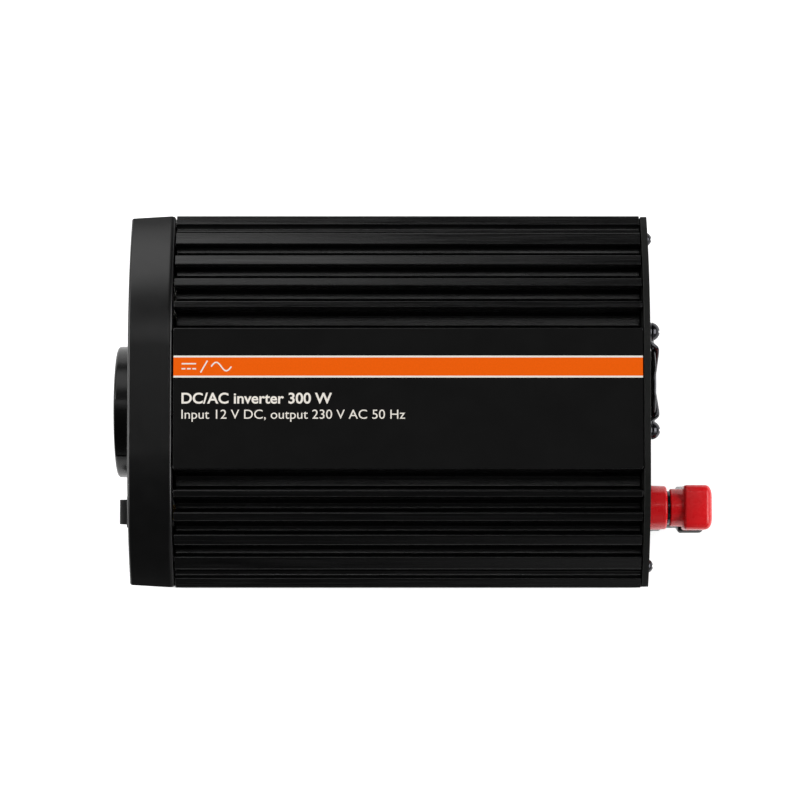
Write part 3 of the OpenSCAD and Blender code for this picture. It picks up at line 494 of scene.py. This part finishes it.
def slab(name, low, high, corner, material=None, steps=6):
    """Thin plate of the label in the (x, y) plane, with rounded corners."""
    outline = []
    corners = [(high[0], high[1], 0), (low[0], high[1], 90), (low[0], low[1], 180), (high[0], low[1], 270)]
    for x, y, start in corners:
        centre = (x - math.copysign(corner, x - (low[0] + high[0]) / 2),
                  y - math.copysign(corner, y - (low[1] + high[1]) / 2))
        for k in range(steps + 1):
            a = math.radians(start + 90 * k / steps)
            outline.append((centre[0] + corner * math.cos(a), centre[1] + corner * math.sin(a)))
    work = bmesh.new()
    face = work.faces.new([work.verts.new((x, y, low[2])) for x, y in outline])
    bmesh.ops.recalc_face_normals(work, faces=work.faces)
    raised = bmesh.ops.extrude_face_region(work, geom=[face])["geom"]
    top = [v for v in raised if isinstance(v, bmesh.types.BMVert)]
    bmesh.ops.translate(work, vec=(0, 0, high[2] - low[2]), verts=top)
    mesh = finished_mesh(work, name)
    smooth_by_angle(mesh)
    return add_piece(name, mesh, "root", "label_film", material)


def lettering(name, words, base, cap_height, left, right, z, bolder):
    """Printed words, as a thin raised layer of ink, fitted between left and right on the line at base."""
    curve = bpy.data.curves.new(name, "FONT")
    curve.body = words
    curve.size = 1.0
    curve.offset = bolder
    curve.resolution_u = 6
    curve.extrude = FONT_DEPTH
    text = bpy.data.objects.new(name, curve)
    bpy.context.scene.collection.objects.link(text)
    bpy.context.view_layer.update()
    mesh = bpy.data.meshes.new_from_object(text.evaluated_get(bpy.context.evaluated_depsgraph_get()))
    bpy.data.objects.remove(text)
    start = min(v.co.x for v in mesh.vertices)
    end = max(v.co.x for v in mesh.vertices)
    wide = (right - left) / (end - start)
    tall = cap_height / FONT_CAPITAL
    for v in mesh.vertices:
        height = (0.5 + v.co.z / (2 * FONT_DEPTH)) * INK
        v.co = Vector((left + (v.co.x - start) * wide, base + v.co.y * tall, z + height))
    add_piece(name, mesh, "root", "label_film", INK_WHITE)


def ribbon(name, points, z):
    """Printed line of even width through points in the (x, y) plane."""
    work = bmesh.new()
    rings = []
    for i, (x, y) in enumerate(points):
        before, after = points[max(i - 1, 0)], points[min(i + 1, len(points) - 1)]
        along = Vector((after[0] - before[0], after[1] - before[1])).normalized()
        side = Vector((-along.y, along.x)) * MARK_LINE / 2
        rings.append([work.verts.new((x + side.x * s, y + side.y * s, z + h))
                      for s, h in ((1, INK), (-1, INK), (-1, 0), (1, 0))])
    join_rings(work, rings)
    work.faces.new(rings[0])
    work.faces.new(list(reversed(rings[-1])))
    add_piece(name, finished_mesh(work, name), "root", "label_film", INK_WHITE)


def make_mark(left, middle, z):
    """Plain sign for direct current in, alternating current out: bar and dashes, slash, wave."""
    bar_length, bar_up = 4.6 * MM, 0.9 * MM
    dash_step, dash_length, dash_down = 1.7 * MM, 1.2 * MM, 0.7 * MM
    slash_low, slash_high, slash_rise = 6.0 * MM, 8.2 * MM, 1.9 * MM
    wave_start, wave_length, wave_height, wave_steps = 9.4 * MM, 6.4 * MM, 1.35 * MM, 32
    ribbon("mark_dc_line", [(left, middle + bar_up), (left + bar_length, middle + bar_up)], z)
    for k in range(3):
        x = left + k * dash_step
        ribbon(f"mark_dc_dash_{k}", [(x, middle - dash_down), (x + dash_length, middle - dash_down)], z)
    slash = [(left + slash_low, middle - slash_rise), (left + slash_high, middle + slash_rise)]
    ribbon("mark_slash", slash, z)
    wave = []
    for k in range(wave_steps + 1):
        t = k / wave_steps
        wave.append((left + wave_start + wave_length * t, middle + wave_height * math.sin(2 * math.pi * t)))
    ribbon("mark_ac_wave", wave, z)


def make_label():
    """Label film with its stripe, its two lines of words and its sign."""
    low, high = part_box("label_plate")
    film_piece = slab("label_film", low, high, LABEL_CORNER)
    add_bevel(film_piece, 0.06 * MM)
    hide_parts("label_plate")
    stripes = [("stripe_white_low", STRIPE_LOW - STRIPE_EDGE, STRIPE_LOW, INK_WHITE),
               ("stripe_orange", STRIPE_LOW, STRIPE_HIGH, INK_ORANGE),
               ("stripe_white_high", STRIPE_HIGH, STRIPE_HIGH + STRIPE_EDGE, INK_WHITE)]
    for name, y0, y1, material in stripes:
        slab(name, (low.x, y0, high.z), (high.x, y1, high.z + INK), INK, material, 2)
    left = low.x + TEXT_MARGIN
    for name, words, base, cap_height, right, bolder in WORDS:
        lettering(name, words, base * MM, cap_height * MM, left, right * MM, high.z, bolder)
    make_mark(left, MARK_MIDDLE, high.z + INK)


# ---------- studs, knobs and fan rotor ----------

STUD_R = 2.98 * MM
STUD_SEAT = 3 * MM
STUD_ROWS, STUD_POINTS = 240, 36
THREAD_PITCH, THREAD_DEPTH = 1.0 * MM, 0.55 * MM
THREAD_CREST, THREAD_FLANK = 1.15, 2.6
STUD_POINT, STUD_TAPER = 0.8 * MM, 0.8

# sizes of a terminal knob in millimetres
KNOB_HALF, KNOB_CORNER = 7.2, 2.4
KNOB_NECK_R, KNOB_NECK_LENGTH, KNOB_NECK_LIP, KNOB_BORE_R = 6.1, 4.15, 0.25, 4.3
KNOB_BACK_EASE, KNOB_END_EASE, KNOB_END_DEPTH, KNOB_DOME_R = 0.9, 3.2, 2.3, 28.0
KNOB_BORE_SPARE = 0.05
BLACK_KNOB_TURN = math.radians(8)

# radii, lengths and thicknesses of the fan rotor in millimetres
HUB_R, HUB_WALL_R, HUB_LENGTH, HUB_FLOOR, HUB_POINTS = 10.2, 8.9, 6.9, 1.6, 64
DISH_R, DISH_RISE_R, DISH_DEPTH, DISH_LIP = 6.8, 7.3, 0.5, 0.1
AXLE_R = 0.76
BLADES, BLADE_ROOT_R, BLADE_TIP_R = 7, 9.9, 18.35
BLADE_ROOT_CHORD, BLADE_MORE_CHORD, BLADE_CAMBER, BLADE_HALF_THICK = 9.4, 2.2, 1.1, 0.42
BLADE_ROOT_PITCH, BLADE_UNTWIST, BLADE_SWEEP = 46, 16, 0.12
BLADE_MARGIN = 0.1
CHORD_STEPS, SPAN_STEPS = 10, 8


def stud_radius(x, a, x_end):
    """Radius of the threaded stud at x and angle a: flanks, flat crests and a pointed end."""
    phase = (x / THREAD_PITCH - a / (2 * math.pi)) % 1
    ridge = min(1, max(0, THREAD_CREST - abs(phase - 0.5) * THREAD_FLANK))
    past = max(0, x - (x_end - STUD_POINT))
    return STUD_R - THREAD_DEPTH * (1 - ridge) - past * STUD_TAPER


def make_studs():
    """Terminal studs with a real M6 thread, one millimetre of pitch."""
    low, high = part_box("terminal_studs")
    y = (low.y + high.y) / 2
    work = bmesh.new()
    for z in (low.z + STUD_SEAT, high.z - STUD_SEAT):
        rings = []
        for i in range(STUD_ROWS + 1):
            x = low.x + (high.x - low.x) * i / STUD_ROWS
            rings.append([])
            for j in range(STUD_POINTS):
                a = 2 * math.pi * j / STUD_POINTS
                r = stud_radius(x, a, high.x)
                rings[-1].append(work.verts.new((x, y + r * math.cos(a), z + r * math.sin(a))))
        join_rings(work, rings)
        work.faces.new(rings[0])
        work.faces.new(rings[-1])
    mesh = finished_mesh(work, "threaded_studs")
    smooth_by_angle(mesh, 40)
    stand_in("terminal_studs", "threaded_studs", mesh)


def rounded_square(half, corner, turn, steps=8):
    """Points of a square of that half width with round corners, or of a circle where both are equal."""
    points = []
    for quarter in range(4):
        for k in range(steps + 1):
            a = math.radians(90 * (quarter + k / steps))
            y = corner * math.cos(a) + (half - corner) * (1, -1, -1, 1)[quarter]
            z = corner * math.sin(a) + (half - corner) * (1, 1, -1, -1)[quarter]
            points.append((y * math.cos(turn) - z * math.sin(turn), y * math.sin(turn) + z * math.cos(turn)))
    return points


def knob_rows(x_neck, x_tip, x_bore):
    """Stations along a knob: x in metres, then half width and corner radius in millimetres."""
    round_rows = [(x_bore, KNOB_BORE_R), (x_neck, KNOB_BORE_R), (x_neck, KNOB_NECK_R - KNOB_NECK_LIP),
                  (x_neck + KNOB_NECK_LIP * MM, KNOB_NECK_R), (x_neck + KNOB_NECK_LENGTH * MM, KNOB_NECK_R)]
    rows = [(x, r, r) for x, r in round_rows]
    square_rows = []
    x_head = x_neck + KNOB_NECK_LENGTH * MM
    for degrees in range(0, 91, 15):
        a = math.radians(degrees)
        square_rows.append((x_head + KNOB_BACK_EASE * (1 - math.cos(a)) * MM,
                            KNOB_HALF - KNOB_BACK_EASE * (1 - math.sin(a))))
    inner = KNOB_HALF - KNOB_END_EASE
    x_shoulder = x_tip - inner ** 2 / (2 * KNOB_DOME_R) * MM
    for degrees in range(0, 91, 10):
        a = math.radians(degrees)
        square_rows.append((x_shoulder - KNOB_END_DEPTH * (1 - math.sin(a)) * MM,
                            inner + KNOB_END_EASE * math.cos(a)))
    for share in (0.8, 0.6, 0.4, 0.2):
        w = inner * share
        square_rows.append((x_tip - w ** 2 / (2 * KNOB_DOME_R) * MM, w))
    return rows + [(x, w, KNOB_CORNER * w / KNOB_HALF) for x, w in square_rows]


def make_knob(color, turn):
    """Terminal knob: round neck with a bore, and a square head with eased edges and a domed end."""
    node = f"{color}_terminal_knob"
    low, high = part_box(node)
    cy, cz = (low.y + high.y) / 2, (low.z + high.z) / 2
    x_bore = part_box(f"{color}_knob_insert")[1].x + KNOB_BORE_SPARE * MM
    work = bmesh.new()
    rings = []
    for x, half, corner in knob_rows(low.x, high.x, x_bore):
        outline = rounded_square(half, corner, turn)
        rings.append([work.verts.new((x, cy + y * MM, cz + z * MM)) for y, z in outline])
    rings.append([work.verts.new((high.x, cy, cz))])
    join_rings(work, rings)
    work.faces.new(rings[0])
    bmesh.ops.remove_doubles(work, verts=work.verts, dist=0.001 * MM)
    mesh = finished_mesh(work, f"{color}_knob")
    smooth_by_angle(mesh)
    stand_in(node, node + "_piece", mesh)


def add_hub(work, cy, cz, x_out, x_in, x_axle):
    """Turned cup with a shallow dish in its face, a rounded outer edge and a short axle inside."""
    edge = HUB_R - HUB_WALL_R
    profile = [(0, x_out - DISH_DEPTH * MM), (DISH_R, x_out - DISH_DEPTH * MM),
               (DISH_RISE_R, x_out - DISH_LIP * MM), (HUB_WALL_R, x_out)]
    for degrees in (20, 40, 60, 75, 90):
        a = math.radians(degrees)
        profile.append((HUB_WALL_R + edge * math.sin(a), x_out - edge * MM * (1 - math.cos(a))))
    x_floor = x_out - HUB_FLOOR * MM
    profile += [(HUB_R, x_in), (HUB_WALL_R, x_in), (HUB_WALL_R, x_floor)]
    profile += [(AXLE_R, x_floor), (AXLE_R, x_axle), (0, x_axle)]
    rings = []
    for r, x in profile:
        rings.append([])
        for j in range(HUB_POINTS if r else 1):
            a = 2 * math.pi * j / HUB_POINTS
            rings[-1].append(work.verts.new((x, cy + r * MM * math.cos(a), cz + r * MM * math.sin(a))))
    join_rings(work, rings)


def blade_point(u, v, side, start, x_low, x_high):
    """x, radius and angle on a blade, at u from -0.5 to 0.5 of its chord and v from 0 to 1 of its span."""
    r = (BLADE_ROOT_R + (BLADE_TIP_R - BLADE_ROOT_R) * v) * MM
    pitch = math.radians(BLADE_ROOT_PITCH - BLADE_UNTWIST * v)
    chord = (BLADE_ROOT_CHORD + BLADE_MORE_CHORD * v) * MM
    camber = BLADE_CAMBER * MM * (1 - 4 * u * u)
    off = camber + side * BLADE_HALF_THICK * MM * math.sqrt(max(0.02, 1 - 4 * u * u))
    x = (x_low + x_high) / 2 - u * chord * math.sin(pitch) + off * math.cos(pitch)
    across = u * chord * math.cos(pitch) + off * math.sin(pitch)
    x = min(max(x, x_low + BLADE_MARGIN * MM), x_high - BLADE_MARGIN * MM)
    return x, r, start + across / r + BLADE_SWEEP * v


def add_blade(work, cy, cz, start, x_low, x_high):
    """Twisted, cambered blade: two sheets of faces and the strip that closes their rims."""
    sheets = []
    for side in (1, -1):
        sheets.append([])
        for s in range(SPAN_STEPS + 1):
            row = []
            for c in range(CHORD_STEPS + 1):
                x, r, a = blade_point(c / CHORD_STEPS - 0.5, s / SPAN_STEPS, side, start, x_low, x_high)
                row.append(work.verts.new((x, cy + r * math.cos(a), cz + r * math.sin(a))))
            sheets[-1].append(row)
    top, under = sheets
    for rows, flip in ((top, False), (under, True)):
        for s in range(SPAN_STEPS):
            for c in range(CHORD_STEPS):
                quad = [rows[s][c], rows[s][c + 1], rows[s + 1][c + 1], rows[s + 1][c]]
                work.faces.new(quad[::-1] if flip else quad)
    for c in range(CHORD_STEPS):
        for s in (0, SPAN_STEPS):
            work.faces.new((top[s][c], top[s][c + 1], under[s][c + 1], under[s][c]))
    for s in range(SPAN_STEPS):
        for c in (0, CHORD_STEPS):
            work.faces.new((top[s][c], top[s + 1][c], under[s + 1][c], under[s][c]))


def make_rotor():
    """Fan rotor: a cupped hub and seven twisted, cambered blades."""
    joint = next(j for j in frame["joints"] if j["name"] == "fan_spin")
    _, cy, cz = joint["pos_m"]
    low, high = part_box("fan_rotor")
    x_in = high.x - HUB_LENGTH * MM
    work = bmesh.new()
    add_hub(work, cy, cz, high.x, x_in, low.x)
    for blade in range(BLADES):
        add_blade(work, cy, cz, 2 * math.pi * blade / BLADES, x_in, high.x)
    mesh = finished_mesh(work, "fan_blades")
    smooth_by_angle(mesh, 38)
    stand_in("fan_rotor", "fan_blades", mesh)


# ---------- build ----------

make_camera()
make_lights()
make_floor(paper_floor("paper_floor"))

for node, obj in frame["nodes"].items():
    obj.data.materials.clear()
    obj.data.materials.append(MATERIALS[SLOT_OF[node]])

# bevel width of each dressed node, in millimetres
EDGES = {
    "top_shell": 0.18, "bottom_cover": 0.25, "front_panel": 0.3, "rear_panel": 0.25, "rubber_feet": 0.25,
    "front_panel_screws": 0.1, "rear_panel_screws": 0.12, "fan_screws": 0.12, "socket_housing": 0.25,
    "earth_clips": 0.08, "switch_frame": 0.25, "switch_rocker": 0.3, "usb_shell": 0.06, "usb_tongue": 0.1,
    "fan_frame": 0.2, "fan_nuts": 0.15, "red_terminal_base": 0.25, "black_terminal_base": 0.25,
    "red_clamp_washer": 0.1, "black_clamp_washer": 0.1, "fan_guard": 0.05,
}
cap_low, cap_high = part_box("front_panel")
# the cap is eased at the seam and round its front face
RIMS = {"front_panel": [(cap_high.x, -1, 1.5 * MM, 0.7 * MM), (cap_low.x, 1, 0.9 * MM, 0.9 * MM)]}
for node, width in EDGES.items():
    dressed(node, width * MM, RIMS.get(node, ()))

make_label()
make_studs()
make_knob("red", 0)
make_knob("black", BLACK_KNOB_TURN)
make_rotor()
